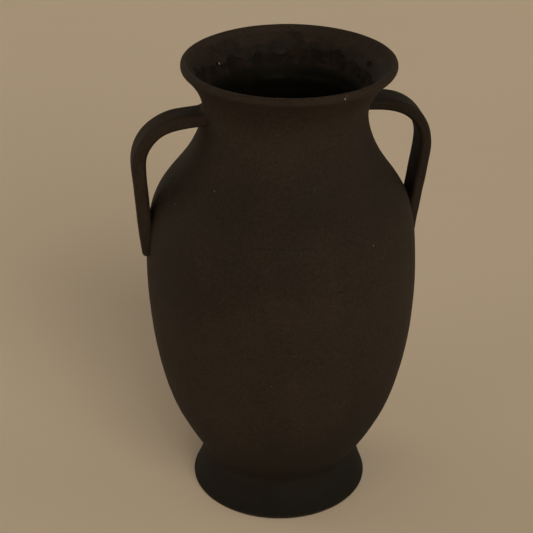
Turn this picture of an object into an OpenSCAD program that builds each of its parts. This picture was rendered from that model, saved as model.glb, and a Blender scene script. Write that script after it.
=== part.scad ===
// Two-handled black clay pot, put together the way a potter builds it: a hollow
// pedestal foot, a floor slab, a body thrown in two parts, a neck with a flared
// mouth, a finishing coil for the lip, two pulled strap handles and a dark glossy
// coat inside. Z is up, and the origin is the centre of the foot on the ground.

/* [Whole pot] */
// Height from the ground to the top of the lip
pot_h = 320; // [310:1:335]
// Radius of the belly at its widest
belly_r = 92; // [88:0.5:96]
// Thickness of the thrown wall
wall_t = 6.5; // [5:0.5:8]
// Height of the low ridge that locates one thrown part on the next
ridge_h = 2; // [1:0.5:3]

/* [Foot] */
// Radius of the foot at the ground
foot_r = 62.5; // [60:0.5:66]
// Width of the ring that stands on the ground
foot_land = 10; // [8:0.5:12]
// Radius of the waist between the foot and the body
waist_r = 53; // [51:0.5:54]
// Height of the waist
waist_z = 26.5; // [24:0.5:28]
// Thickness of the floor slab
floor_t = 7; // [6:0.5:9]

/* [Neck and mouth] */
// Radius of the neck at its narrowest
neck_r = 54; // [52:0.5:56]
// Height of the neck's narrowest point
neck_z = 285; // [282:1:288]
// Radius of the mouth over the lip
mouth_r = 70; // [67:0.5:73]
// Radius of the rounded coil that finishes the lip
lip_bead_r = 2.5; // [2:0.25:3]
// Thickness of the flared wall just below the lip
flare_t = 4.8; // [4.5:0.1:5.5]

/* [Joints between the thrown parts] */
// Height where the two halves of the body meet
belly_joint_z = 150; // [130:1:170]
// Height where the neck is set on the body
shoulder_joint_z = 226; // [215:1:232]

/* [Handles] */
// Radius of the strap's rounded edges
strap_edge_r = 3; // [2:0.25:3.25]
// Thickness of the clay worked round each strap's top root
luting_t = 2.5; // [2:0.5:4]
// Length of that clay along the strap
luting_l = 6; // [4:0.5:8]

/* [Left handle] */
// Width of the left strap
left_w = 20; // [17:0.5:26]
// Thickness of the left strap
left_t = 9.4; // [7:0.2:10]
// Distance from the pot's axis to the left strap's centre line at its furthest
left_reach = 96.2; // [95:0.2:100]
// Height of the left strap's centre line at the top of its bend
left_top_z = 283; // [280:0.5:285]
// Radius of the left strap's bend, at its centre line
left_bend_r = 28; // [25:0.5:31]
// Tilt of the left strap: its top run droops and its leg leans in by this angle
left_tilt = 5; // [3:0.5:6]
// Height of the left strap's lower end on the shoulder
left_end_z = 190; // [188:1:200]

/* [Right handle] */
// Width of the right strap
right_w = 24; // [17:0.5:26]
// Thickness of the right strap
right_t = 8; // [7:0.2:10]
// Distance from the pot's axis to the right strap's centre line at its furthest
right_reach = 95; // [94:0.2:100]
// Height of the right strap's centre line at the top of its bend
right_top_z = 288; // [282:0.5:289]
// Radius of the right strap's bend, at its centre line
right_bend_r = 31; // [25:0.5:32]
// Tilt of the right strap: its top run droops and its leg leans in by this angle
right_tilt = 5.5; // [3:0.5:6]
// Height of the right strap's lower end on the shoulder
right_end_z = 196; // [192:1:204]

/* [Inner coat] */
// Height of the coat's top edge inside the flare
coat_top_z = 304; // [298:1:308]
// Thickness of the coat
coat_t = 0.6; // [0.4:0.1:1]

/* [Hidden] */
$fn = 96;

CLAY = "#2b2219";
COAT = "#120f0b";

// Body outline from the waist to the neck: [share of that height, share of the belly's radius]
BODY_SHAPE = [
    [0.018, 0.601], [0.036, 0.637], [0.06, 0.681], [0.11, 0.757], [0.17, 0.835],
    [0.25, 0.904], [0.35, 0.959], [0.45, 0.989], [0.55, 1], [0.64, 0.991],
    [0.69, 0.978], [0.73, 0.953], [0.765, 0.921], [0.8, 0.864], [0.84, 0.78],
    [0.88, 0.702], [0.92, 0.645], [0.96, 0.605]];

body_h = neck_z - waist_z;
floor_z = waist_z + floor_t;
flare_z = pot_h - 2 * lip_bead_r;
foot_inner_r = foot_r - foot_land;
foot_edge_r = 1.2;
recess_top_r = waist_r - foot_land + 1;
disc_bevel = 1.5;
level_step = 5;
edge_steps = 6;

// A handle's dimensions, in the order of the names below
LEFT = [left_w, left_t, left_reach, left_top_z, left_bend_r, left_tilt, left_end_z];
RIGHT = [right_w, right_t, right_reach, right_top_z, right_bend_r, right_tilt, right_end_z];
function width(h) = h[0];
function thickness(h) = h[1];
function bend_x(h) = h[2] - h[4];
function bend_z(h) = h[3] - h[4];
function bend_r(h) = h[4];
function tilt(h) = h[5];
function end_z(h) = h[6];

OUTLINE = concat(
    [[waist_z, waist_r]],
    [for (p = BODY_SHAPE) [waist_z + p[0] * body_h, p[1] * belly_r]],
    [[neck_z, neck_r]]);
last = len(OUTLINE) - 1;

// Slope of the outline at a listed point, level at the waist and at the neck
function knot_slope(i) = (i == 0 || i == last) ? 0
    : (OUTLINE[i + 1][1] - OUTLINE[i - 1][1]) / (OUTLINE[i + 1][0] - OUTLINE[i - 1][0]);

// Number of the outline stretch that holds height z
function stretch(z) = max([for (i = [0 : last - 1]) if (OUTLINE[i][0] <= z || i == 0) i]);

function hermite(a, b, slope_a, slope_b, run, t) =
    a * (2 * t * t * t - 3 * t * t + 1) + b * (3 * t * t - 2 * t * t * t)
    + run * (slope_a * (t * t * t - 2 * t * t + t) + slope_b * (t * t * t - t * t));

function body_r(z) = let (
    i = stretch(z),
    run = OUTLINE[i + 1][0] - OUTLINE[i][0])
    hermite(OUTLINE[i][1], OUTLINE[i + 1][1], knot_slope(i), knot_slope(i + 1), run,
            (z - OUTLINE[i][0]) / run);

// The flare is a parabola that starts level at the neck
function mouth_flare_r(z) =
    neck_r + (mouth_r - neck_r) * pow((z - neck_z) / (flare_z - neck_z), 2);

function outer_r(z) = z < neck_z ? body_r(z) : mouth_flare_r(z);

// The wall keeps its thickness square to the surface and thins through the flare
function wall_at(z) =
    wall_t + (flare_t - wall_t) * max(0, (z - neck_z) / (flare_z - neck_z));

function outer_slope(z) = let (d = 0.5, low = max(z - d, waist_z), high = min(z + d, flare_z))
    (outer_r(high) - outer_r(low)) / (high - low);

function inner_r(z) = outer_r(z) - wall_at(z) * sqrt(1 + pow(outer_slope(z), 2));

// Heights at which the wall has a ring of points, shared by every part that touches it
KEYS = [waist_z, waist_z + 2, floor_z, belly_joint_z, shoulder_joint_z, coat_top_z, flare_z];

function rungs(low, high) = let (n = ceil((high - low) / level_step))
    [for (k = [0 : n - 1]) low + (high - low) * k / n];

LEVELS = concat([for (i = [0 : len(KEYS) - 2]) each rungs(KEYS[i], KEYS[i + 1])], [flare_z]);

function levels_from(low, high) = [for (z = LEVELS) if (z >= low && z <= high) z];

function reversed(list) = [for (i = [len(list) - 1 : -1 : 0]) list[i]];

function outer_run(low, high) = [for (z = levels_from(low, high)) [outer_r(z), z]];

function inner_run(low, high) = [for (z = levels_from(low, high)) [inner_r(z), z]];

// Point of the locating ridge on the joint at height z
function ridge(z) = [[(outer_r(z) + inner_r(z)) / 2, z + ridge_h]];

module turned(points) {
    rotate_extrude($fn = 96)
        polygon(points);
}

// Everything inside the pot's outer surface, from the ground to the lip joint
module outer_form() {
    turned(concat(
        [[0, 0], [foot_r, 0]],
        outer_run(waist_z, flare_z),
        [[0, flare_z]]));
}

module foot_ring() {
    edge_centre = [foot_r - foot_edge_r, foot_edge_r];
    edge = [for (k = [0 : edge_steps]) let (a = -90 + 90 * k / edge_steps)
        edge_centre + foot_edge_r * [cos(a), sin(a)]];
    color(CLAY)
        turned(concat(
            [[foot_inner_r, 0]],
            edge,
            [[waist_r + 1, waist_z - 3], [waist_r, waist_z], [recess_top_r, waist_z]]));
}

module base_disc() {
    color(CLAY)
        turned([
            [0, waist_z],
            [inner_r(floor_z) - disc_bevel, waist_z],
            [inner_r(floor_z), floor_z],
            [0, floor_z]]);
}

module lower_body() {
    color(CLAY)
        turned(concat(
            [[inner_r(floor_z) - disc_bevel, waist_z]],
            outer_run(waist_z, belly_joint_z),
            ridge(belly_joint_z),
            reversed(inner_run(floor_z, belly_joint_z))));
}

module upper_body() {
    color(CLAY)
        turned(concat(
            ridge(belly_joint_z),
            outer_run(belly_joint_z, shoulder_joint_z),
            ridge(shoulder_joint_z),
            reversed(inner_run(belly_joint_z, shoulder_joint_z))));
}

module neck() {
    color(CLAY)
        turned(concat(
            ridge(shoulder_joint_z),
            outer_run(shoulder_joint_z, flare_z),
            reversed(inner_run(shoulder_joint_z, flare_z))));
}

module lip() {
    bead_centre = [mouth_r - lip_bead_r, pot_h - lip_bead_r];
    bead = [for (k = [0 : 2 * edge_steps]) let (a = 180 * k / (2 * edge_steps))
        bead_centre + lip_bead_r * [cos(a), sin(a)]];
    color(CLAY)
        turned(concat(
            [[inner_r(flare_z), flare_z], [outer_r(flare_z), flare_z]],
            bead));
}

module inner_glaze() {
    wall_side = inner_run(floor_z, coat_top_z);
    free_side = [for (p = inner_run(floor_z + coat_t, coat_top_z)) p - [coat_t, 0]];
    color(COAT)
        turned(concat(
            [[0, floor_z]],
            wall_side,
            reversed(free_side),
            [[inner_r(floor_z) - coat_t, floor_z + coat_t], [0, floor_z + coat_t]]));
}

// Rounded section of strap h, its thickness along X and its width along Y, made
// larger all round by grow
function strap_section(h, grow = 0) = [
    for (corner = [[1, 1, 0], [-1, 1, 90], [-1, -1, 180], [1, -1, 270]])
        for (k = [0 : edge_steps]) let (a = corner[2] + 90 * k / edge_steps)
            [corner[0] * (thickness(h) / 2 - strap_edge_r),
             corner[1] * (width(h) / 2 - strap_edge_r)]
            + (strap_edge_r + grow) * [cos(a), sin(a)]];

// Strap h before it is fitted to the pot: a top run, a quarter bend and a leg, tilted
// as one about the bend's centre
module strap(h) {
    root_l = bend_x(h) - neck_r + wall_t;
    leg_l = (bend_z(h) - bend_r(h) * sin(tilt(h)) - end_z(h)) / cos(tilt(h));
    translate([bend_x(h), 0, bend_z(h)])
        rotate([90, 0, 0])
            rotate([0, 0, -tilt(h)]) {
                rotate_extrude(angle = 90, $fn = 96)
                    translate([bend_r(h), 0])
                        polygon(strap_section(h));
                translate([-root_l, bend_r(h), 0])
                    rotate([90, 0, 90])
                        linear_extrude(root_l)
                            polygon(strap_section(h));
                translate([bend_r(h), 0, 0])
                    rotate([90, 0, 0])
                        linear_extrude(leg_l)
                            polygon(strap_section(h));
            }
}

// Strap h with both ends cut to the pot's round surface
module handle(h) {
    color(CLAY)
        difference() {
            strap(h);
            outer_form();
        }
}

// Height of the middle of strap h's top run, at distance r from the pot's axis
function root_z(h, r) = bend_z(h) + (bend_r(h) - (r - bend_x(h)) * sin(tilt(h))) / cos(tilt(h));

// A thin slice of the luting, at distance r, that stands grow proud of strap h
module luting_slice(h, r, grow) {
    slice_t = 0.2;
    translate([r, 0, root_z(h, r)])
        rotate([0, 90 + tilt(h), 0])
            linear_extrude(slice_t)
                polygon(strap_section(h, grow));
}

// Clay pressed into the corner between strap h's top root and the neck
module luting(h) {
    thin_edge = 0.3;
    start_r = neck_r - wall_t / 2;
    taper = (luting_t - thin_edge) / luting_l;
    color(CLAY)
        difference() {
            hull() {
                luting_slice(h, start_r, luting_t + taper * (neck_r - start_r));
                luting_slice(h, neck_r + luting_l, thin_edge);
            }
            strap(h);
            outer_form();
        }
}

module left_handle() {
    rotate([0, 0, 180])
        handle(LEFT);
}

module right_handle() {
    handle(RIGHT);
}

module left_luting() {
    rotate([0, 0, 180])
        luting(LEFT);
}

module right_luting() {
    luting(RIGHT);
}

foot_ring();
base_disc();
lower_body();
upper_body();
neck();
lip();
left_handle();
right_handle();
left_luting();
right_luting();
inner_glaze();
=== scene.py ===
"""Looks for the two-handled black clay pot. Every turned surface is drawn from the radii
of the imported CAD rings, with one shared lean, so the pieces meet without a visible step."""

import math

import bpy
import numpy as np
from mathutils import Matrix, Vector


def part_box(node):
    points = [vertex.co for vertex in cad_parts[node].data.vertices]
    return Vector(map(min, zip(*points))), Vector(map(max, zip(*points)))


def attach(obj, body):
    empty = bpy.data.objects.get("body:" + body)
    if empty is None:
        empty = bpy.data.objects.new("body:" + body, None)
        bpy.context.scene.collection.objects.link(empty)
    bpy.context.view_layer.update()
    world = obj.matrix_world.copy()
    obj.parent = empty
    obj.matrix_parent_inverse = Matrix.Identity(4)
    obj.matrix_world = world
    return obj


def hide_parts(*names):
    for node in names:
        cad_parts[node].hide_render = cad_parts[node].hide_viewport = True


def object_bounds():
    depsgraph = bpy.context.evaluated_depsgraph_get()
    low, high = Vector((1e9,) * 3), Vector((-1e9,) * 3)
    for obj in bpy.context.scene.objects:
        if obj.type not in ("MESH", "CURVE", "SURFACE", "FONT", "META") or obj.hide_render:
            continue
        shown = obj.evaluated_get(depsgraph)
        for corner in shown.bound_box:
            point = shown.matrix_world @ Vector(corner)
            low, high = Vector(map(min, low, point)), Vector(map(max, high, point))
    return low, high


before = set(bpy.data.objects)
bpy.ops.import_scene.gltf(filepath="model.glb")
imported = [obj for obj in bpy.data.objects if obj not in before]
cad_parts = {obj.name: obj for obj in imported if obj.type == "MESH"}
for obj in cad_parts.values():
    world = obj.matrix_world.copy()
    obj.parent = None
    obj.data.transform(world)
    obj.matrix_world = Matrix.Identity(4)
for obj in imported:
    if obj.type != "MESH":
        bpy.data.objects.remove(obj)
cad_low, cad_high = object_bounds()

MM = 0.001
TAU = 2 * math.pi
HEIGHT = cad_high.z - cad_low.z

# How finely a turned surface is drawn: columns round the pot, and steps along its section
COLUMNS = 320
STEP = 0.25 * MM

# The view: how far the camera stands, in pot heights, and where it looks
VIEW_TURN = math.radians(-10)
VIEW_AWAY = 2.7786
VIEW_UP = 2.0273
VIEW_HEADING = math.radians(0.68)
VIEW_PITCH = math.radians(28.36)
VIEW_ROLL = math.radians(0.13)
VIEW_LENS = 99.25


# ---------------------------------------------------------------- curves and noise

def spline(xs, ys):
    """Natural cubic curve through the points, as a function of x."""
    xs, ys = np.asarray(xs, float), np.asarray(ys, float)
    n = len(xs)
    h = np.diff(xs)
    a = np.zeros((n, n))
    b = np.zeros(n)
    a[0, 0] = a[-1, -1] = 1
    for i in range(1, n - 1):
        a[i, i - 1 : i + 2] = h[i - 1], 2 * (h[i - 1] + h[i]), h[i]
        b[i] = 6 * ((ys[i + 1] - ys[i]) / h[i] - (ys[i] - ys[i - 1]) / h[i - 1])
    bend = np.linalg.solve(a, b)

    def curve(x):
        x = np.clip(np.asarray(x, float), xs[0], xs[-1])
        i = np.clip(np.searchsorted(xs, x) - 1, 0, n - 2)
        t, w = x - xs[i], h[i]
        slope = (ys[i + 1] - ys[i]) / w - w * (2 * bend[i] + bend[i + 1]) / 6
        return ys[i] + slope * t + bend[i] * t**2 / 2 + (bend[i + 1] - bend[i]) * t**3 / (6 * w)

    return curve


class Waves:
    """Smooth noise of turn angle and height that closes on itself round the pot: a sum of
    count waves, with whole turns in one range and waves up the height in another."""

    def __init__(self, seed, count, turns, heights):
        rng = np.random.default_rng(seed)
        self.turns = rng.integers(turns[0], turns[1] + 1, count)
        self.heights = rng.uniform(*heights, count) * rng.choice([-1, 1], count)
        self.phase = rng.uniform(0, TAU, count)
        self.share = rng.uniform(0.5, 1, count)
        self.share /= np.sqrt((self.share**2).sum() / 2)

    def __call__(self, angle, z):
        total = 0
        for m, k, p, s in zip(self.turns, self.heights, self.phase, self.share):
            total = total + s * np.cos(m * angle + k * z + p)
        return total


def smooth_step(low, high, x):
    t = np.clip((x - low) / (high - low), 0, 1)
    return t * t * (3 - 2 * t)


def near(gap, full, none):
    """1 where the gap is under full, falling to 0 where it is over none."""
    return 1 - smooth_step(full, none, abs(gap))


def blend(a, b, share):
    """Rows of a taken over to rows of b by a share for each row."""
    return a * (1 - share[:, None]) + b * share[:, None]


# ---------------------------------------------------------------- the wall, from the CAD rings

RIDGE_DEPTH = 1 * MM


def turned_points(node):
    """Radius and height of every point of a turned CAD node."""
    co = np.array([v.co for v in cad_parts[node].data.vertices], float)
    return np.stack([np.hypot(co[:, 0], co[:, 1]), co[:, 2]], 1)


def wall_side(nodes, side, lowest=0.0):
    """Heights and radii of one side of the wall: side is 1 outside and -1 inside."""
    points = np.concatenate([turned_points(n) for n in nodes])
    level = np.round(points[:, 1], 6)
    heights = np.unique(level[level >= lowest - 1e-7])
    radii = np.array([(side * points[level == z, 0]).max() for z in heights]) * side
    while True:  # the ridges that locate the joints lie inside the wall, and are dropped
        share = (heights[1:-1] - heights[:-2]) / (heights[2:] - heights[:-2])
        inset = side * (radii[:-2] + share * (radii[2:] - radii[:-2]) - radii[1:-1])
        if inset.max() < RIDGE_DEPTH:
            return heights, radii
        worst = int(inset.argmax()) + 1
        heights, radii = np.delete(heights, worst), np.delete(radii, worst)


WAIST_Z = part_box("foot_ring")[1].z
FLOOR_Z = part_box("base_disc")[1].z
BELLY_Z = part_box("upper_body")[0].z
SHOULDER_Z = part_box("neck")[0].z
FLARE_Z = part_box("lip")[0].z
TOP_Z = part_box("lip")[1].z

FOOT_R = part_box("foot_ring")[1].x
LIP_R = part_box("lip")[1].x
BEAD_R = (TOP_Z - FLARE_Z) / 2
FOOT_EDGE_R = 1.2 * MM
RIDGE_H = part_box("lower_body")[1].z - BELLY_Z

outer_curve = spline(*wall_side(["foot_ring", "lower_body", "upper_body", "neck"], 1, FOOT_EDGE_R))
inner_curve = spline(*wall_side(["lower_body", "upper_body", "neck"], -1, FLOOR_Z))

LEVEL = 1e-6  # points closer than this in height are on one ring
foot_points = turned_points("foot_ring")
disc_points = turned_points("base_disc")
FOOT_INNER_R = foot_points[foot_points[:, 1] < LEVEL, 0].min()
RECESS_R = foot_points[foot_points[:, 1] > WAIST_Z - LEVEL, 0].min()
DISC_R = disc_points[disc_points[:, 1] < WAIST_Z + LEVEL, 0].max()

# How far each corner of the section is rounded off: at the edges of the foot, over the
# wall, at the waist and at the lip
EDGE_BLUR = 0.7 * MM
WALL_BLUR = 2.2 * MM
WAIST_BLUR = 3.2 * MM
LIP_BLUR = 1.2 * MM


def arc(r, z, radius, start, end):
    a = np.radians(np.linspace(start, end, 40))
    return np.stack([r + radius * np.cos(a), z + radius * np.sin(a)], 1)


def blurred(line, blur):
    """The line with its corners softened, its ends left in place."""
    reach = int(4 * blur / STEP)
    weight = np.exp(-0.5 * (np.arange(-reach, reach + 1) * STEP / blur) ** 2)
    padded = np.concatenate([2 * line[0] - line[reach:0:-1], line,
                             2 * line[-1] - line[-2 : -reach - 2 : -1]])
    return np.stack([np.convolve(padded[:, k], weight / weight.sum(), "valid") for k in (0, 1)], 1)


def skin_contour():
    """Section of the whole clay surface as (r, z): from the axis under the floor, down
    inside the foot, up the outside, over the lip and down the inside to the floor's centre.
    Also the place along it of each joint between two pieces."""
    up = np.arange(FOOT_EDGE_R, FLARE_Z, STEP)
    down = np.arange(FLARE_Z, FLOOR_Z, -STEP)
    parts = [
        ("recess", [[0, WAIST_Z]]),
        ("foot", [[RECESS_R, WAIST_Z]]),
        ("land", [[FOOT_INNER_R, 0]]),
        ("edge", arc(FOOT_R - FOOT_EDGE_R, FOOT_EDGE_R, FOOT_EDGE_R, -90, 0)),
        ("out", np.stack([outer_curve(up), up], 1)),
        ("lip", [[outer_curve(FLARE_Z), FLARE_Z]]),
        ("bead", arc(LIP_R - BEAD_R, TOP_Z - BEAD_R, BEAD_R, 0, 180)),
        ("in", np.stack([inner_curve(down), down], 1)),
        ("floor", [[inner_curve(FLOOR_Z), FLOOR_Z]]),
        ("centre", [[0, FLOOR_Z]])]
    line = np.concatenate([np.asarray(p, float) for _, p in parts])
    first = np.cumsum([0] + [len(p) for _, p in parts])[:-1]
    along = np.concatenate([[0], np.cumsum(np.hypot(*np.diff(line, axis=0).T))])
    place = {name: along[k] for (name, _), k in zip(parts, first)}
    even = np.arange(0, along[-1] + STEP / 2, STEP)
    line = np.stack([np.interp(even, along, line[:, k]) for k in (0, 1)], 1)

    at_waist = near(line[:, 1] - WAIST_Z, 5 * MM, 15 * MM) * (even >= place["edge"])
    at_lip = near(even - place["bead"], 8 * MM, 16 * MM)
    at_edge = np.maximum(near(even - place["land"], 8 * MM, 16 * MM),
                         near(even - place["edge"], 8 * MM, 16 * MM))
    soft = blend(blurred(line, WALL_BLUR), blurred(line, WAIST_BLUR), at_waist)
    soft = blend(soft, blurred(line, LIP_BLUR), at_lip)
    line = blend(soft, blurred(line, EDGE_BLUR), at_edge)
    line[[0, -1], 0] = 0

    outside = (even > place["edge"]) & (even < place["bead"])
    inside = (even > place["in"]) & (even < place["floor"])

    def crossing(height, where):
        ks = np.flatnonzero(where)
        return int(ks[np.abs(line[ks, 1] - height).argmin()])

    def step_at(name):
        return int(round(place[name] / STEP))

    return line, {
        "recess": step_at("foot"),
        "waist": crossing(WAIST_Z, outside),
        "belly": crossing(BELLY_Z, outside),
        "shoulder": crossing(SHOULDER_Z, outside),
        "flare": step_at("lip"),
        "flare_in": step_at("in"),
        "shoulder_in": crossing(SHOULDER_Z, inside),
        "belly_in": crossing(BELLY_Z, inside),
        "floor": step_at("floor"),
        "end": len(even) - 1}


contour, CUT = skin_contour()
tangent = np.gradient(contour, axis=0)
tangent /= np.hypot(*tangent.T)[:, None]
outward = np.stack([tangent[:, 1], -tangent[:, 0]], 1)


# ---------------------------------------------------------------- the hand in it: lean and relief

# How far the pot's axis leans across the view: shares of the height, up and across
LEAN = spline([0, 0.12, 0.25, 0.4, 0.6, 0.72, 0.8, 0.88, 1],
              [-0.0037, -0.0006, 0, 0, -0.0028, -0.0022, 0.0011, 0.0045, 0.0118])
ACROSS = (math.cos(VIEW_TURN), math.sin(VIEW_TURN))

# Each kind of unevenness, and how high it stands
lumps, LUMP_H = Waves(3, 10, (1, 4), (5, 60)), 0.1 * MM
dents, DENT_H = Waves(5, 26, (4, 22), (60, 260)), 0.022 * MM
rings, RING_H = Waves(8, 9, (0, 1), (520, 900)), 0.018 * MM
finger_rings, FINGER_H = Waves(9, 6, (1, 1), (560, 760)), 0.16 * MM
INSIDE_GAIN = 1.4      # the inside is less even than the outside
SKIN_INSET = 0.2 * MM  # keeps every lump within the true pot's outline
LEVEL_FOOT = 5 * MM    # height over which the relief dies out towards the ground
LEVEL_FLOOR = 15 * MM  # radius within which it dies out towards the floor's centre

# Lines left by the potter's tool: share of the height, first and last angle, depth
TOOL_LINES = [
    (0.7045, -116, -84, 0.2 * MM),
    (0.609, -82, -55, 0.26 * MM),
    (0.655, -150, -118, 0.07 * MM),
    (0.33, -60, -22, 0.08 * MM),
    (0.52, 20, 120, 0.09 * MM),
    (0.71, 95, 175, 0.12 * MM),
    (0.42, -210, -170, 0.08 * MM)]
TOOL_W = 0.45 * MM

# The chip in the lip's edge: angle, size and depth
CHIP_ANGLE = math.radians(-70.2)
CHIP_SIZE = 1.7 * MM
CHIP_DEPTH = 0.55 * MM
TOP_GAP = 0.05 * MM  # the skin stays this far under the top of the box


def angle_gap(a, b):
    return (a - b + math.pi) % TAU - math.pi


def arc_of(first, last):
    """Middle and half width of a stretch between two angles in degrees."""
    return math.radians((first + last) / 2), math.radians((last - first) / 2)


def tool_line_depth(angle, z):
    total = 0
    for share, first, last, depth in TOOL_LINES:
        middle, half = arc_of(first, last)
        reach = near(angle_gap(angle, middle) / half, 0.55, 1)
        total = total + depth * reach * np.exp(-0.5 * ((z - share * HEIGHT) / TOOL_W) ** 2)
    return total


def along_contour(values, k):
    """Values kept for each whole place of the contour, at any place k."""
    return np.interp(k, np.arange(len(contour)), values)


def relief(angle, k):
    """How far the surface stands out of the turned contour at places k of it."""
    r, z = along_contour(contour[:, 0], k), along_contour(contour[:, 1], k)
    outside = (k > CUT["recess"]) & (k < CUT["flare_in"])
    hand = LUMP_H * lumps(angle, z) + DENT_H * dents(angle, z)
    face = hand + RING_H * rings(angle, z) - tool_line_depth(angle, z) - SKIN_INSET
    back = INSIDE_GAIN * hand + FINGER_H * finger_rings(angle, z)
    back = back * smooth_step(0, LEVEL_FLOOR, r)
    return np.where(outside, face, back) * smooth_step(0, LEVEL_FOOT, z)


def warped(x, y, z):
    """Points of the true turned pot moved by its lean."""
    shift = LEAN(z / HEIGHT) * HEIGHT
    return np.stack([x + ACROSS[0] * shift, y + ACROSS[1] * shift, z], -1)


def chip_bite(angle, r, z):
    """How much clay the chip takes off the lip's outer edge."""
    across = angle_gap(angle, CHIP_ANGLE) * LIP_R
    far = np.hypot(across, 1.3 * (z - TOP_Z + BEAD_R)) / CHIP_SIZE
    return CHIP_DEPTH * near(far, 0.5, 1) * (r > LIP_R - BEAD_R)


def skin(angle, k, proud=0.0):
    """Points at contour places k and the given angles, standing proud of the clay."""
    r, z = along_contour(contour[:, 0], k), along_contour(contour[:, 1], k)
    out_r, out_z = along_contour(outward[:, 0], k), along_contour(outward[:, 1], k)
    out = relief(angle, k) + proud - chip_bite(angle, r, z)
    z = np.minimum(z + out_z * out, TOP_Z - TOP_GAP)
    r = r + out_r * out
    return warped(r * np.cos(angle), r * np.sin(angle), z)


# ---------------------------------------------------------------- meshes

angles = np.arange(COLUMNS) * TAU / COLUMNS

LIP_ZONE = round(10 * MM / STEP)  # steps to each side of the lip that are drawn finely
MOUTH_Z = 0.85 * HEIGHT           # the inside is drawn finely above this height
SAME_POINT = 2e-8                 # points closer than this are joined
UP = np.array([0, 0, 1.0])


def spacing_at(k):
    """Length of a mesh cell along the contour at place k."""
    z = contour[k, 1]
    if CUT["flare"] - LIP_ZONE < k < CUT["flare_in"] + LIP_ZONE:
        return 0.5 * MM
    if CUT["recess"] < k < CUT["flare"]:
        if min(abs(z - line[0] * HEIGHT) for line in TOOL_LINES) < 1.4 * MM:
            return 0.35 * MM
        return 0.6 * MM if z < 6 * MM else 1.5 * MM
    return 1.2 * MM if z > MOUTH_Z else 5 * MM


def rows_between(first, last):
    """Contour places from first to last, a mesh cell apart."""
    ks, k = [first], first
    while True:
        k += max(1, int(round(spacing_at(k) / STEP)))
        if k >= last - 1:
            return np.array(ks + [last])
        ks.append(k)


def skin_rows(first, last):
    """Points and normals of a stretch of the surface, row by row."""
    ks = rows_between(first, last)
    grid_k, grid_a = np.meshgrid(ks, angles, indexing="ij")
    ahead = skin(grid_a, np.minimum(grid_k + 1, CUT["end"])) - skin(grid_a, np.maximum(grid_k - 1, 0))
    turn = 0.2 * TAU / COLUMNS
    around = skin(grid_a + turn, grid_k) - skin(grid_a - turn, grid_k)
    normals = np.cross(around, ahead)
    length = np.linalg.norm(normals, axis=2, keepdims=True)
    on_axis = -UP if first == 0 else UP
    tiny = 1e-14
    normals = np.where(length > tiny, normals / np.maximum(length, tiny), on_axis)
    return skin(grid_a, grid_k), normals


def joint_rows(start, end, lift):
    """Rows of a hidden joint face between two places of the surface, with its locating
    ridge raised by lift."""
    first, last = skin(angles, np.full(COLUMNS, start)), skin(angles, np.full(COLUMNS, end))
    return np.stack([first, (first + last) / 2 + lift * UP, last]), None


def disc_seat():
    """The row where the base disc's hidden edge sits in the lower body."""
    z = np.full(COLUMNS, WAIST_Z)
    return warped(DISC_R * np.cos(angles), DISC_R * np.sin(angles), z)[None], None


def turned_mesh(stretches, on_axis=False):
    """Points, faces and shading of a closed turned piece. Each stretch is (rows, normals);
    a stretch without normals is a hidden face. On the axis the end rows are single points."""
    rows = np.concatenate([p for p, _ in stretches])
    normal = np.concatenate([np.zeros_like(p) if n is None else n for p, n in stretches])
    hidden = np.concatenate([np.full(len(p), n is None) for p, n in stretches])
    count = len(rows)
    index = np.arange(count * COLUMNS).reshape(count, COLUMNS)
    faces, shading = [], []
    for i in range(count - 1 if on_axis else count):
        j = (i + 1) % count
        if np.abs(rows[i] - rows[j]).max() < 1e-7:
            continue
        kept = [0, 1, 2, 3]
        if on_axis and i == 0:
            kept = [0, 2, 3]
        elif on_axis and j == count - 1:
            kept = [0, 1, 3]
        quads = np.stack([index[i], np.roll(index[i], -1), np.roll(index[j], -1), index[j]], 1)
        corner = np.stack([normal[i], np.roll(normal[i], -1, 0),
                           np.roll(normal[j], -1, 0), normal[j]], 1)
        if hidden[i] or hidden[j]:
            corner = np.zeros_like(corner)
        faces.extend(quads[:, kept].tolist())
        shading.append(corner[:, kept].reshape(-1, 3))
    return rows.reshape(-1, 3), faces, np.concatenate(shading)


def make_piece(name, node, slot_name, points, faces, shading=None, crease=50):
    """A mesh object that stands for a CAD node, its doubled points joined. Without shading
    of its own it is smooth up to the crease angle."""
    keys = np.round(points / SAME_POINT).astype(np.int64)
    _, first, place = np.unique(keys, axis=0, return_index=True, return_inverse=True)
    place = place.ravel()
    faces = [[int(place[v]) for v in face] for face in faces]
    used = np.zeros(len(first), bool)
    used[[v for face in faces for v in face]] = True
    number = np.cumsum(used) - 1
    mesh = bpy.data.meshes.new(name)
    mesh.from_pydata(points[first][used].tolist(), [],
                     [[int(number[v]) for v in face] for face in faces])
    mesh.polygons.foreach_set("use_smooth", [True] * len(mesh.polygons))
    if shading is None:
        mesh.set_sharp_from_angle(angle=math.radians(crease))
    else:
        mesh.normals_split_custom_set(shading.tolist())
    piece = bpy.data.objects.new(name, mesh)
    bpy.context.scene.collection.objects.link(piece)
    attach(piece, "root")
    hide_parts(node)
    mesh.materials.append(materials[slot_name])
    return piece


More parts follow.
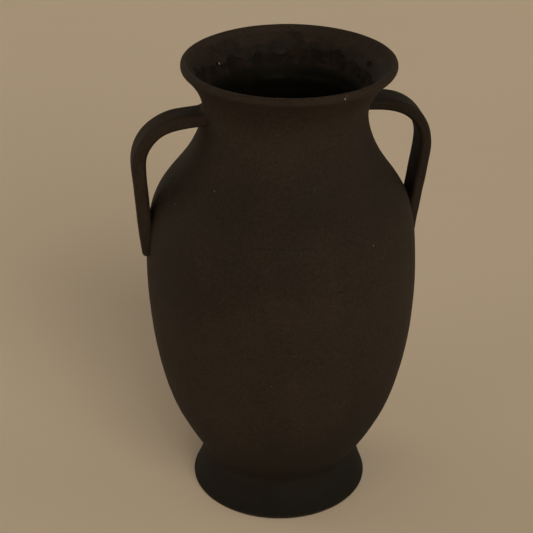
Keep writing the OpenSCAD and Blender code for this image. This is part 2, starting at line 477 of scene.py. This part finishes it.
def grid_mesh(points, capped=True):
    """Points and faces of a closed grid whose rows are rings. Its ends are flat fans, or,
    when not capped, the last row joins the first as in a ring of rings."""
    count, columns = points.shape[:2]
    flat = points.reshape(-1, 3)
    faces = []
    for i in range(count - 1 if capped else count):
        j = (i + 1) % count
        for m in range(columns):
            n = (m + 1) % columns
            faces.append([i * columns + m, i * columns + n, j * columns + n, j * columns + m])
    if capped:
        ends = np.stack([points[0].mean(0), points[-1].mean(0)])
        first, last = len(flat), len(flat) + 1
        flat = np.concatenate([flat, ends])
        for m in range(columns):
            n = (m + 1) % columns
            faces.append([first, n, m])
            faces.append([last, (count - 1) * columns + m, (count - 1) * columns + n])
    volume = 0
    for face in faces:
        a, b, c = flat[face[0]], flat[face[1]], flat[face[2]]
        volume += np.dot(a, np.cross(b, c))
        if len(face) == 4:
            volume += np.dot(a, np.cross(c, flat[face[3]]))
    if volume < 0:
        faces = [face[::-1] for face in faces]
    return flat, faces


# ---------------------------------------------------------------- materials

class Shader:
    """A node material, with short ways to add and join its nodes."""

    def __init__(self, name):
        self.material = bpy.data.materials.new(name)
        self.material.use_nodes = True
        self.tree = self.material.node_tree
        self.surface = self.tree.nodes["Principled BSDF"]
        self.place = self.tree.nodes.new("ShaderNodeTexCoord").outputs["Object"]
        self.x, self.y, self.z = self.add("ShaderNodeSeparateXYZ", {0: self.place}).outputs

    def add(self, kind, inputs, **settings):
        node = self.tree.nodes.new(kind)
        for key, value in settings.items():
            setattr(node, key, value)
        for key, value in inputs.items():
            if isinstance(value, bpy.types.NodeSocket):
                self.tree.links.new(value, node.inputs[key])
            else:
                node.inputs[key].default_value = value
        return node

    def math(self, operation, a, b=0.0, c=0.0, clamp=False):
        return self.add("ShaderNodeMath", {0: a, 1: b, 2: c},
                        operation=operation, use_clamp=clamp).outputs[0]

    def times(self, a, b):
        return self.math("MULTIPLY", a, b)

    def minus(self, a, b):
        return self.math("SUBTRACT", a, b)

    def most(self, a, b):
        return self.math("MAXIMUM", a, b)

    def sum_of(self, base, *terms):
        """The base and, for each term, its value times its gain."""
        total = base
        for value, gain in terms:
            total = self.math("MULTIPLY_ADD", value, gain, total)
        return total

    def mix(self, share, a, b):
        return self.add("ShaderNodeMix", {0: share, 6: a, 7: b}, data_type="RGBA").outputs[2]

    def shaded(self, colour, tone):
        """The colour multiplied by a tone."""
        grey = self.add("ShaderNodeCombineColor", {0: tone, 1: tone, 2: tone}).outputs[0]
        return self.add("ShaderNodeMix", {0: 1.0, 6: colour, 7: grey}, data_type="RGBA",
                        blend_type="MULTIPLY").outputs[2]

    def noise(self, cells, detail=3.0, rough=0.55, offset=(0, 0, 0)):
        """Noise from 0 to 1 with so many cells a metre along each axis."""
        place = self.add("ShaderNodeVectorMath", {0: self.place, 1: cells, 2: offset},
                         operation="MULTIPLY_ADD").outputs[0]
        return self.add("ShaderNodeTexNoise", {"Vector": place, "Scale": 1.0, "Detail": detail,
                                               "Roughness": rough}).outputs[0]

    def ramp(self, value, low, high, start=0.0, end=1.0):
        """Value taken smoothly from low..high to start..end."""
        return self.add("ShaderNodeMapRange", {0: value, 1: low, 2: high, 3: start, 4: end},
                        interpolation_type="SMOOTHSTEP").outputs[0]

    def dots(self, cells, rarity, core, edge):
        """1 in small dots: one at most in each of so many cells a metre, fewer with rarity."""
        grid = self.add("ShaderNodeTexVoronoi", {"Vector": self.place, "Scale": cells})
        chosen = self.ramp(grid.outputs["Color"], rarity, rarity + 0.02)
        return self.times(self.ramp(grid.outputs["Distance"], core, edge, 1, 0), chosen)

    def spot(self, centre, size, core=0.6):
        """1 within a small spot of the surface, 0 outside it."""
        away = self.add("ShaderNodeVectorMath", {0: self.place, 1: centre},
                        operation="DISTANCE").outputs["Value"]
        return self.ramp(away, core * size, size, 1.0, 0.0)

    def finish(self, colour, rough, height, bump_strength, bump_depth, specular):
        """Join up the surface and return the material."""
        bump = self.add("ShaderNodeBump", {"Strength": bump_strength, "Distance": bump_depth,
                                           "Height": height}).outputs[0]
        for name, value in (("Base Color", colour), ("Roughness", rough), ("Normal", bump)):
            self.tree.links.new(value, self.surface.inputs[name])
        self.surface.inputs["Specular IOR Level"].default_value = specular
        return self.material


CLAY_BLACK = (0.0200, 0.0140, 0.0094, 1)
CLAY_BROWN = (0.0230, 0.0156, 0.0102, 1)
# Colour of painted shade on the lower body, the shoulder and the right strap's top
CLAY_PAINTED_SHADE = (0.0052, 0.0045, 0.0029, 1)
CLAY_WORN = (0.075, 0.056, 0.040, 1)
CLAY_PALE = (0.30, 0.25, 0.19, 1)
# Colour of stains and pits, and of painted shade along the tool lines
STAIN_AND_GROOVE_SHADE = (0.0074, 0.0056, 0.0032, 1)
COAT_THICK = (0.0052, 0.0046, 0.0028, 1)
COAT_THIN = (0.0066, 0.0057, 0.0035, 1)

CLAY_ROUGHNESS = 0.63
CLAY_SPECULAR = {"thrown": 0.14, "pulled": 0.12}
COAT_ROUGHNESS = 0.24
COAT_SPECULAR = 0.07

# Where the coat's ragged edge lies, where it turns dull and where it turns mottled
COAT_EDGE_Z = 0.953 * HEIGHT
COAT_DULL_Z = (0.9 * HEIGHT, 0.925 * HEIGHT)
COAT_MOTTLE_Z = (0.932 * HEIGHT, 0.941 * HEIGHT)

# A parabola through the throat and the lip tells the flare's inside from its outside
THROAT_Z = FLARE_Z - 30 * MM
neck_points = turned_points("neck")
THROAT_R = neck_points[abs(neck_points[:, 1] - THROAT_Z) < 1.3 * MM, 0].max()

# Pale specks of kiln dust: angle, share of the height, size
SPECKS = [
    (-174.5, 0.756, 0.9), (-169.8, 0.736, 0.8), (-160.8, 0.733, 0.8), (-140, 0.782, 0.9),
    (-57.2, 0.683, 1.0), (-104, 0.402, 0.6), (-71, 0.338, 0.6), (25, 0.61, 0.9),
    (74, 0.45, 0.8), (118, 0.74, 0.9), (150, 0.36, 0.7)]

# Painted highlights: glints on the coat drawn as pale spots: angle, share of the height
PAINTED_GLINTS = [(137.5, 0.9528), (-62, 0.941)]

outer_places = np.arange(CUT["waist"], CUT["flare"])
inner_places = np.arange(CUT["floor"], CUT["flare_in"], -1)


def on_wall(degrees, share, proud, places):
    """A point of the outer or inner surface at an angle and a share of the height."""
    k = np.interp(share * HEIGHT, contour[places, 1], places)
    return tuple(skin(np.array([math.radians(degrees)]), np.array([k]), proud)[0])


def painted_shade_share(sh, blotch):
    """Painted shade: the clay darkens towards the foot, where it is nearly all dark, more so on
    its right, and in a thin band over the shoulder."""
    z = sh.sum_of(sh.z, (blotch, 40 * MM), (sh.x, -0.35))
    foot = sh.ramp(z, 10 * MM, 145 * MM, 1, 0)
    shoulder = sh.times(sh.ramp(z, 0.64 * HEIGHT, 0.73 * HEIGHT, 0, 0.17),
                        sh.ramp(z, 0.88 * HEIGHT, 0.94 * HEIGHT, 1, 0))
    return sh.most(foot, shoulder)


def strap_painted_shade_share(sh):
    """Painted shade on the top of the right strap."""
    right_top = sh.times(sh.ramp(sh.x, 0, LIP_R), sh.ramp(sh.z, 0.8 * HEIGHT, 0.88 * HEIGHT))
    return sh.times(right_top, 0.4)


def inside_share(sh):
    """1 on the inner side of the flare, 0 outside."""
    flat = sh.add("ShaderNodeCombineXYZ", {0: sh.x, 1: sh.y, 2: 0.0}).outputs[0]
    radius = sh.add("ShaderNodeVectorMath", {0: flat}, operation="LENGTH").outputs["Value"]
    rise = sh.math("DIVIDE", sh.minus(sh.z, THROAT_Z), FLARE_Z - THROAT_Z, clamp=True)
    wall = sh.sum_of(THROAT_R, (sh.times(rise, rise), LIP_R - THROAT_R))
    return sh.ramp(sh.minus(wall, radius), 2.6 * MM, 4.6 * MM)


def flare_stain(sh, inside):
    """Dark stain that the coat left on the flare above it, higher up on the left."""
    wet = sh.noise((62, 62, 44), 4, 0.55, (1, 4, 2))
    edge = sh.sum_of(TOP_Z - 24 * MM, (wet, 30 * MM))
    edge = sh.math("ADD", edge, sh.ramp(sh.x, 0, -0.7 * LIP_R, 0, 5 * MM))
    return sh.times(sh.ramp(sh.minus(edge, sh.z), -3 * MM, 3 * MM), inside)


def groove_painted_shade(sh):
    """Painted shade: broken dark lines along the deeper marks of the tool."""
    turned = sh.math("ARCTAN2", sh.y, sh.x)
    broken = sh.ramp(sh.noise((300, 300, 500), 2, 0.6, (8, 1, 3)), 0.38, 0.55, 0.1, 0.75)
    total = 0.0
    for share, first, last, depth in TOOL_LINES:
        if depth < 0.11 * MM:
            continue
        middle, half = arc_of(first, last)
        above = sh.math("ABSOLUTE", sh.minus(sh.z, share * HEIGHT))
        beside = sh.math("ABSOLUTE", sh.minus(turned, middle))
        line = sh.times(sh.ramp(above, 0.2 * MM, 0.75 * MM, 1, 0),
                        sh.ramp(beside, 0.6 * half, half, 1, 0))
        total = sh.most(total, sh.times(line, broken))
    return total


def pale_marks(sh):
    """Specks of kiln dust, and the bare clay in the lip's chip."""
    total = 0.0
    for degrees, share, size in SPECKS:
        dot = sh.spot(on_wall(degrees, share, 0, outer_places), 0.75 * size * MM, 0.3)
        total = sh.most(total, sh.times(dot, 0.4))
    edge_r = LIP_R - 0.3 * MM
    for turn in (-0.011, 0, 0.011):
        angle = CHIP_ANGLE + turn
        z = TOP_Z - BEAD_R + 60 * MM * turn
        chip = warped(edge_r * math.cos(angle), edge_r * math.sin(angle), z)
        total = sh.most(total, sh.spot(tuple(chip), 0.8 * MM, 0.4))
    return total


def clay_shader(name, kind):
    """Unpolished black clay. Thrown clay has fine rings round it, a pulled strap has
    lines along it."""
    sh = Shader(name)
    blotch = sh.noise((22, 22, 16), 4, 0.6)
    cloud = sh.noise((75, 75, 60), 4, 0.6, (3, 7, 1))
    grain = sh.noise((1150, 1150, 1150), 3, 0.75)
    grit = sh.noise((480, 480, 480), 2, 0.6, (2, 8, 6))
    brown = sh.noise((34, 34, 26), 3, 0.5, (9, 2, 5))
    pits = sh.dots(330.0, 0.80, 0.1, 0.26)
    dust = sh.times(sh.dots(95.0, 0.90, 0.03, 0.06), 0.35)
    wear = sh.ramp(sh.z, 0.9 * MM, 2.6 * MM, 0.5, 0)
    rough = sh.sum_of(CLAY_ROUGHNESS, (cloud, 0.22), (grain, 0.12))
    colour = sh.mix(sh.ramp(brown, 0.35, 0.7), CLAY_BLACK, CLAY_BROWN)
    # painted shade: darker towards the foot, more on the right, and in a band over the shoulder
    colour = sh.mix(painted_shade_share(sh, blotch), colour, CLAY_PAINTED_SHADE)
    if kind == "pulled":
        streak = sh.noise((55, 620, 55), 3, 0.6)
        rough = sh.sum_of(rough, (streak, -0.08))
        # painted shade on the top of the right strap
        colour = sh.mix(strap_painted_shade_share(sh), colour, CLAY_PAINTED_SHADE)
    else:
        streak = sh.noise((16, 16, 620), 3, 0.62)
        inside = inside_share(sh)
        rough = sh.sum_of(rough, (inside, -0.08))
        # stain on the flare, together with painted shade along the tool lines
        stain = sh.most(flare_stain(sh, inside), groove_painted_shade(sh))
        thin = sh.ramp(sh.noise((120, 120, 90), 4, 0.6, (5, 5, 1)), 0.36, 0.62, 0.35, 0.95)
        colour = sh.mix(sh.times(stain, thin), colour, STAIN_AND_GROOVE_SHADE)
        wear = sh.most(wear, sh.ramp(sh.z, TOP_Z - 1.4 * MM, TOP_Z, 0, 0.35))
        dust = sh.most(dust, pale_marks(sh))
    colour = sh.mix(sh.times(wear, sh.ramp(grain, 0.35, 0.6)), colour, CLAY_WORN)
    colour = sh.mix(sh.times(pits, 0.7), colour, STAIN_AND_GROOVE_SHADE)
    tone = sh.sum_of(-0.7, (blotch, 0.22), (cloud, 0.3), (streak, 0.24), (grit, 0.75), (grain, 1.9))
    colour = sh.mix(dust, sh.shaded(colour, tone), CLAY_PALE)
    height = sh.sum_of(sh.times(grain, 0.6), (streak, 0.55), (cloud, 0.5), (pits, -0.9))
    return sh.finish(colour, sh.math("MINIMUM", rough, 0.95), height, 0.5, 0.22 * MM,
                     CLAY_SPECULAR[kind])


def coat_shader(name):
    """Dark coat: nearly black and glossy deep down, dull round the throat, and mottled
    where it runs out on the flare."""
    sh = Shader(name)
    flow = sh.noise((90, 90, 24), 4, 0.55)
    fine = sh.noise((420, 420, 300), 3, 0.6)
    blotch = sh.noise((130, 130, 150), 4, 0.65, (2, 6, 4))
    mottle = sh.ramp(sh.noise((90, 90, 90), 4, 0.65, (6, 3, 9)), 0.42, 0.62)
    bare = sh.ramp(sh.sum_of(sh.z, (blotch, 14 * MM)), COAT_EDGE_Z - 4 * MM, COAT_EDGE_Z + 9 * MM)
    dull = sh.ramp(sh.z, *COAT_DULL_Z)
    mottled = sh.ramp(sh.sum_of(sh.z, (blotch, 5 * MM)), *COAT_MOTTLE_Z)
    colour = sh.mix(sh.ramp(flow, 0.35, 0.7), COAT_THICK, COAT_THIN)
    colour = sh.mix(sh.times(bare, 0.85), colour, CLAY_BLACK)
    colour = sh.mix(mottled, colour, sh.mix(sh.times(mottle, 0.7), STAIN_AND_GROOVE_SHADE, CLAY_BLACK))
    # painted highlights: pale spots standing in for glints on the coat
    for degrees, share in PAINTED_GLINTS:
        painted_glint = sh.spot(on_wall(degrees, share, 1 * MM, inner_places), 1.1 * MM, 0.35)
        colour = sh.mix(sh.times(painted_glint, 0.8), colour, CLAY_PALE)
    rough = sh.sum_of(COAT_ROUGHNESS, (sh.ramp(flow, 0.42, 0.72), 0.12), (dull, 0.34),
                      (bare, 0.16), (fine, 0.08))
    return sh.finish(colour, rough, sh.sum_of(flow, (fine, 0.25)), 0.6, 0.6 * MM, COAT_SPECULAR)


materials = {"black_clay": clay_shader("thrown_clay", "thrown"),
             "inner_coat": coat_shader("glossy_coat")}
pulled_clay = clay_shader("pulled_clay", "pulled")


# ---------------------------------------------------------------- turned clay pieces

def clay(name, *stretches, on_axis=False):
    return make_piece("pot_" + name, name, "black_clay", *turned_mesh(stretches, on_axis))


clay("foot_ring", skin_rows(CUT["recess"], CUT["waist"]),
     joint_rows(CUT["waist"], CUT["recess"], 0))
clay("base_disc", skin_rows(0, CUT["recess"]),
     disc_seat(),
     skin_rows(CUT["floor"], CUT["end"]), on_axis=True)
clay("lower_body", skin_rows(CUT["waist"], CUT["belly"]),
     joint_rows(CUT["belly"], CUT["belly_in"], RIDGE_H),
     skin_rows(CUT["belly_in"], CUT["floor"]),
     disc_seat())
clay("upper_body", skin_rows(CUT["belly"], CUT["shoulder"]),
     joint_rows(CUT["shoulder"], CUT["shoulder_in"], RIDGE_H),
     skin_rows(CUT["shoulder_in"], CUT["belly_in"]),
     joint_rows(CUT["belly_in"], CUT["belly"], RIDGE_H))
clay("neck", skin_rows(CUT["shoulder"], CUT["flare"]),
     joint_rows(CUT["flare"], CUT["flare_in"], 0),
     skin_rows(CUT["flare_in"], CUT["shoulder_in"]),
     joint_rows(CUT["shoulder_in"], CUT["shoulder"], RIDGE_H))
clay("lip", skin_rows(CUT["flare"], CUT["flare_in"]),
     joint_rows(CUT["flare_in"], CUT["flare"], 0))


# ---------------------------------------------------------------- glossy coat inside

COAT_T = 0.35 * MM
COAT_SUNK = 0.4 * MM   # how deep the coat's hidden back lies in the clay
EDGE_SUNK = 0.06 * MM  # how deep its thin edge starts
EDGE_RUN = 6           # steps over which the coat's edge is rounded
MOUTH_RUN = 150        # steps below the edge that are drawn finely
CENTRE_GAP = 12        # steps left free round the floor's centre, inside the end fan
drips = Waves(21, 18, (5, 34), (0, 1))
tide = Waves(22, 7, (1, 5), (0, 1))

# Blobs of glaze splashed up the flare: angle, share of the height, then width across,
# height and thickness in mm
BLOBS = [
    (12.2, 0.9647, 6.5, 4.2, 0.9), (16.5, 0.9416, 8, 5, 1.0), (43.8, 0.9628, 5.5, 3.8, 0.8),
    (51.0, 0.9428, 9, 5, 1.0), (76.8, 0.9469, 7, 4.5, 0.9), (137.5, 0.9528, 4.2, 3.4, 1.3),
    (29, 0.954, 4, 3, 0.8), (63, 0.957, 3.4, 2.6, 0.7), (101, 0.951, 5, 3.2, 0.8),
    (158, 0.961, 5, 3.5, 0.8), (205, 0.957, 4, 3, 0.7), (-35, 0.955, 5, 3, 0.8)]

# Section of a blob: how far out of its middle, how high
BLOB_SHAPE = [(0.1, -0.25), (1, -0.25), (1, -0.03), (0.94, 0.35), (0.8, 0.62), (0.6, 0.82),
              (0.35, 0.95), (0.1, 1)]


def inner_place(z):
    """Contour place of a height inside the mouth."""
    return np.interp(z, contour[inner_places, 1], inner_places)


def coat_sheet():
    """Rows of the coat's closed skin: its front stands proud of the clay, and its back is
    sunk in it. The edge runs high at one place, where the coat was poured."""
    poured = 8 * MM * np.exp(-(angle_gap(angles, math.radians(170)) / 0.3) ** 2)
    edge_z = COAT_EDGE_Z + 1.1 * MM * drips(angles, 0) + 1.2 * MM * tide(angles, 0) + poured
    top = inner_place(np.minimum(edge_z, FLARE_Z - 1 * MM))
    last = CUT["end"] - CENTRE_GAP
    runs = np.concatenate([[0, 0.4, 1, 1.8, 2.8, 4, EDGE_RUN],
                           np.arange(9, MOUTH_RUN, 5),
                           np.arange(MOUTH_RUN, last - top.min(), 18)])
    front, back = [], []
    for run in runs:
        k = top + (last - top) * run / runs[-1] if run > MOUTH_RUN else top + run
        rounded = math.sqrt(1 - (1 - min(run, EDGE_RUN) / EDGE_RUN) ** 2)
        front.append(skin(angles, k, COAT_T * rounded - EDGE_SUNK))
        back.append(skin(angles, k, -COAT_SUNK))
    return np.concatenate([np.stack(back)[::-1], np.stack(front)])


def blob_rows(degrees, share, across, high, thick):
    """Rows of a small closed lens on the flare."""
    turn = np.linspace(0, TAU, 28, endpoint=False)
    wobble = 1 + 0.12 * np.cos(2 * turn + degrees) + 0.07 * np.cos(3 * turn + 2 * degrees)
    rows = []
    for spread, lift in BLOB_SHAPE:
        side = 0.5 * across * MM * spread * wobble * np.cos(turn)
        rise = 0.5 * high * MM * spread * wobble * np.sin(turn)
        k = inner_place(share * HEIGHT) - rise / STEP
        angle = math.radians(degrees) + side / (0.9 * LIP_R)
        rows.append(skin(angle, k, lift * thick * MM))
    return np.stack(rows)


points, faces = grid_mesh(coat_sheet())
for blob in BLOBS:
    more, more_faces = grid_mesh(blob_rows(*blob))
    faces += [[v + len(points) for v in face] for face in more_faces]
    points = np.concatenate([points, more])
make_piece("pot_inner_glaze", "inner_glaze", "inner_coat", points, faces, crease=80)


# ---------------------------------------------------------------- handles

EDGE_R = 3 * MM         # rounding of a strap's edges
EDGE_LEAST = 0.35 * MM  # the least it shrinks to at the rounded end
END_R = 1.8 * MM        # rounding of its lower end
BEND_BLUR = 2.4 * MM    # softening of its centre line
ROOT_SUNK = 2.5 * MM    # how far its top run goes into the neck
END_GAIN = 0.6 * MM     # how far it reaches past the CAD strap's lowest point
CROWN = 0.35 * MM       # how much its broad faces bulge
BOW = 0.35 * MM         # how far its line strays inwards
SWAY = 0.3 * MM         # how far it strays sideways
RIPPLE = 0.07 * MM      # how much its thickness varies


class Strap:
    """A pulled strap: a top run, a quarter bend and a leg, tilted as one. Its width, reach,
    height and end come from the box of its CAD solid. Its leg is tucked in at the end."""

    def __init__(self, name, side, thick, bend_r, tilt, tuck, seed):
        low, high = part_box(name + "_handle")
        self.name, self.side, self.thick = name, side, thick
        self.width = high.y - low.y
        self.phase = np.random.default_rng(seed).uniform(0, TAU, 6)
        far, near_end = max(abs(low.x), abs(high.x)), min(abs(low.x), abs(high.x))
        bend_x = far - thick / 2 - bend_r
        drop = (bend_r + thick / 2 - (near_end - bend_x) * math.sin(tilt)) / math.cos(tilt)
        bend_z = high.z - drop
        root = (bend_x - near_end + ROOT_SUNK + bend_r * math.sin(tilt)) / math.cos(tilt)
        leg = (bend_z - bend_r * math.sin(tilt) - low.z) / math.cos(tilt) + END_GAIN
        step = 2 * STEP
        bend = np.arange(0, math.pi / 2, step / bend_r)
        run_u, leg_v = np.arange(-root, 0, step), np.arange(0, leg, step)
        u = np.concatenate([run_u, bend_r * np.sin(bend), np.full(len(leg_v), bend_r)])
        v = np.concatenate([np.full(len(run_u), bend_r), bend_r * np.cos(bend), -leg_v])
        line = np.stack([bend_x + u * math.cos(tilt) + v * math.sin(tilt),
                         bend_z - u * math.sin(tilt) + v * math.cos(tilt)], 1)
        line = blurred(line, BEND_BLUR)
        self.along = np.concatenate([[0], np.cumsum(np.hypot(*np.diff(line, axis=0).T))])
        self.length = self.along[-1]
        share = self.along / self.length
        bow = BOW * (1 + np.cos(TAU * 1.5 * share + self.phase[0])) * np.sin(math.pi * share)
        line[:, 0] -= tuck * smooth_step(0.6, 1, share) + bow
        self.line = line
        way = np.gradient(line, axis=0)
        self.way = way / np.hypot(*way.T)[:, None]

    def section(self, inset):
        """Rounded section of the strap as offsets out of its bend and across its width:
        four rounded edges, each followed by the flat stretch after it."""
        half_t, half_w = self.thick / 2 - inset, self.width / 2 - inset
        edge = max(EDGE_R - inset, EDGE_LEAST)
        t, w = half_t - edge, half_w - edge
        down_t, down_w = np.linspace(t, -t, 4)[1:-1], np.linspace(w, -w, 14)[1:-1]
        side, face = np.full(len(down_t), half_w), np.full(len(down_w), half_t)
        points = []
        for start, centre_t, centre_w, flat in (
                (0, t, w, (down_t, side)), (90, -t, w, (-face, down_w)),
                (180, -t, -w, (-down_t, -side)), (270, t, -w, (face, -down_w))):
            a = np.radians(start + np.linspace(0, 90, 12))
            points.append(np.stack([centre_t + edge * np.cos(a), centre_w + edge * np.sin(a)], 1))
            points.append(np.stack(flat, 1))
        points = np.concatenate(points)
        crown = CROWN * (1 - (points[:, 1] / half_w) ** 2)
        points[:, 0] += np.sign(points[:, 0]) * crown * (abs(points[:, 0]) > t)
        points[:, 0] *= half_t / abs(points[:, 0]).max()
        return points

    def surface(self, s, inset=0.0):
        """Points round the strap at distances s along it, before the pot's lean."""
        s = np.atleast_1d(s)
        centre = np.stack([np.interp(s, self.along, self.line[:, k]) for k in (0, 1)], 1)
        way = np.stack([np.interp(s, self.along, self.way[:, k]) for k in (0, 1)], 1)
        share = (s / self.length)[:, None]
        shape = self.section(inset)
        p = self.phase
        broad = 1 + 0.03 * np.exp(-((share / 0.12) ** 2)) + 0.012 * np.sin(TAU * 2.3 * share + p[1])
        deep = 0.985 + 0.015 * np.sin(TAU * 3.1 * share + p[2])
        sway = SWAY * np.sin(TAU * 1.1 * share + p[3]) * np.sin(math.pi * share)
        across = np.clip(shape[None, :, 1] * broad, -self.width / 2, self.width / 2) + sway
        out = shape[None, :, 0] * deep
        ripple = RIPPLE * np.sin(TAU * 6 * share + p[4] + 8 * shape[None, :, 1] / self.width)
        out = out + ripple * np.sign(out)
        x = centre[:, :1] - way[:, 1:] * out
        z = centre[:, 1:] + way[:, :1] * out
        return np.stack([self.side * x, across, z], -1)

    def mesh(self):
        """The strap's rows, close together at its rounded lower end."""
        rows = [self.surface(np.arange(0, self.length - END_R, 1.3 * MM))]
        for a in np.radians([0, 18, 36, 54, 70, 82, 90]):
            s = self.length - END_R * (1 - math.sin(a))
            rows.append(self.surface(s, 0.9 * END_R * (1 - math.cos(a))))
        points = np.concatenate(rows)
        return grid_mesh(warped(points[..., 0], points[..., 1], points[..., 2]))


# The clay pressed round a strap's root: how far it spreads below and above the strap, how
# uneven that is, how far its edges and its back are sunk, and how full its hollow is
LUTING_LEAST = 1.1 * MM
LUTING_MORE = 1.5 * MM
LUTING_WOBBLE = 0.18
LUTING_EDGE = {"strap": 0.25 * MM, "neck": 0.45 * MM}
LUTING_SUNK = 1.4 * MM
LUTING_FILL = 0.04


def luting_mesh(strap):
    """Clay pressed into the corner round a strap's top root: a hollow fillet from the
    strap to the neck, its hidden side sunk into both."""
    reach = np.linspace(0, 22 * MM, 200)
    points = strap.surface(reach)
    gap = np.hypot(points[..., 0], points[..., 1]) - outer_curve(points[..., 2])
    count = points.shape[1]
    upper = smooth_step(-0.4, 0.9, strap.section(0)[:, 0] / (strap.thick / 2))
    wobble = 1 + LUTING_WOBBLE * np.sin(5 * np.arange(count) * TAU / count + strap.phase[5])
    spread = (LUTING_LEAST + LUTING_MORE * upper) * wobble
    corner, on_strap = [], []
    for m in range(count):
        first = int(np.argmax(gap[:, m] > 0))
        s = np.interp(0, gap[first - 1 : first + 1, m], reach[first - 1 : first + 1])
        for stop, kept in ((s, corner), (s + 1.6 * spread[m], on_strap)):
            kept.append([np.interp(stop, reach, points[:, m, k]) for k in range(3)])
    corner, on_strap = np.array(corner), np.array(on_strap)
    away = corner - corner.mean(0)
    away[:, 0] = 0
    away /= np.linalg.norm(away, axis=1)[:, None]
    on_neck = corner + away * spread[:, None]
    scale = outer_curve(on_neck[:, 2]) / np.hypot(on_neck[:, 0], on_neck[:, 1])
    on_neck[:, :2] *= scale[:, None]
    outwards = corner * (1, 1, 0)
    outwards /= np.linalg.norm(outwards, axis=1)[:, None]
    strap_end = on_strap - LUTING_EDGE["strap"] * away
    neck_end = on_neck - LUTING_EDGE["neck"] * outwards
    hollow = corner + LUTING_FILL * (on_strap + on_neck - 2 * corner)
    rows = [(1 - t) ** 2 * strap_end + 2 * t * (1 - t) * hollow + t**2 * neck_end
            for t in np.linspace(0, 1, 9)]
    rows.append(corner - LUTING_SUNK * (outwards + away))
    points = np.stack(rows, 1)
    return grid_mesh(warped(points[..., 0], points[..., 1], points[..., 2]), capped=False)


straps = [Strap("left", -1, 9.4 * MM, 28 * MM, math.radians(5), 0.3 * MM, 31),
          Strap("right", 1, 8 * MM, 31 * MM, math.radians(5.5), 1.9 * MM, 32)]
for strap in straps:
    for node, parts in (("_handle", strap.mesh()), ("_luting", luting_mesh(strap))):
        piece = make_piece("pot_" + strap.name + node, strap.name + node, "black_clay", *parts,
                           crease=60)
        piece.data.materials[0] = pulled_clay


# ---------------------------------------------------------------- floor, light and camera

FLOOR_REACH = 80 * HEIGHT
FLOOR_COLOURS = ((0.74, 0.635, 0.50, 1), (0.78, 0.67, 0.53, 1))
FLOOR_ROUGHNESS = 0.75

# Broad soft lights far from the pot: turn from the front to the right, rise, strength
LAMPS = {
    "front_high": (16, 33, 0.95),
    "front_low": (8, 6, 0.62),
    "left": (-60, 14, 0.28),
    "right": (80, 10, 0.39),
    "behind": (-120, 15, 0.48)}
LAMP_COLOUR = (1, 0.88, 0.72)
LAMP_BREADTH = math.radians(38)

# The room's own light: pale walls round the pot, darker overhead. It fades between two
# rises of the sky's direction, from one strength to the other
AIR_FADE = (0.25, 0.6, 0.62, 0.12)
AIR_COLOUR = (1, 0.87, 0.70, 1)


def floor_shader():
    sh = Shader("pale_floor")
    colour = sh.mix(sh.noise((3, 3, 3), 2, 0.5), *FLOOR_COLOURS)
    sh.tree.links.new(colour, sh.surface.inputs["Base Color"])
    sh.surface.inputs["Roughness"].default_value = FLOOR_ROUGHNESS
    return sh.material


def floor_sheet():
    mesh = bpy.data.meshes.new("studio_floor")
    corners = [(x * FLOOR_REACH, y * FLOOR_REACH, cad_low.z)
               for x, y in ((-1, -1), (1, -1), (1, 1), (-1, 1))]
    mesh.from_pydata(corners, [], [(0, 1, 2, 3)])
    mesh.materials.append(floor_shader())
    sheet = bpy.data.objects.new("studio_floor", mesh)
    bpy.context.scene.collection.objects.link(sheet)
    return sheet


floor_sheet()

for name, (turn, rise, strength) in LAMPS.items():
    turn, rise = math.radians(turn), math.radians(rise)
    way = Vector((math.cos(rise) * math.sin(turn), -math.cos(rise) * math.cos(turn), math.sin(rise)))
    lamp = bpy.data.lights.new("lamp_" + name, "SUN")
    lamp.angle = LAMP_BREADTH
    lamp.energy = strength
    lamp.color = LAMP_COLOUR
    light = bpy.data.objects.new("lamp_" + name, lamp)
    light.location = 3 * HEIGHT * way
    light.rotation_euler = (-way).to_track_quat("-Z", "Y").to_euler()
    bpy.context.scene.collection.objects.link(light)

world = bpy.data.worlds.new("studio_air")
bpy.context.scene.world = world
world.use_nodes = True
air = world.node_tree
direction = air.nodes.new("ShaderNodeSeparateXYZ")
fade = air.nodes.new("ShaderNodeMapRange")
fade.interpolation_type = "SMOOTHSTEP"
air.links.new(air.nodes.new("ShaderNodeTexCoord").outputs["Generated"], direction.inputs[0])
air.links.new(direction.outputs[2], fade.inputs[0])
for socket, value in zip(list(fade.inputs)[1:5], AIR_FADE):
    socket.default_value = value
air.nodes["Background"].inputs[0].default_value = AIR_COLOUR
air.links.new(fade.outputs[0], air.nodes["Background"].inputs[1])

lens = bpy.data.cameras.new("photo_view")
lens.lens = VIEW_LENS
lens.clip_start = 50 * MM
camera = bpy.data.objects.new("photo_view", lens)
camera.location = (HEIGHT * VIEW_AWAY * math.sin(VIEW_TURN),
                   -HEIGHT * VIEW_AWAY * math.cos(VIEW_TURN), HEIGHT * VIEW_UP)
camera.rotation_euler = (Matrix.Rotation(VIEW_TURN + VIEW_HEADING, 3, "Z")
                         @ Matrix.Rotation(math.pi / 2 - VIEW_PITCH, 3, "X")
                         @ Matrix.Rotation(VIEW_ROLL, 3, "Z")).to_euler()
bpy.context.scene.collection.objects.link(camera)
bpy.context.scene.camera = camera
bpy.context.scene.view_settings.view_transform = "Standard"

bpy.context.view_layer.update()
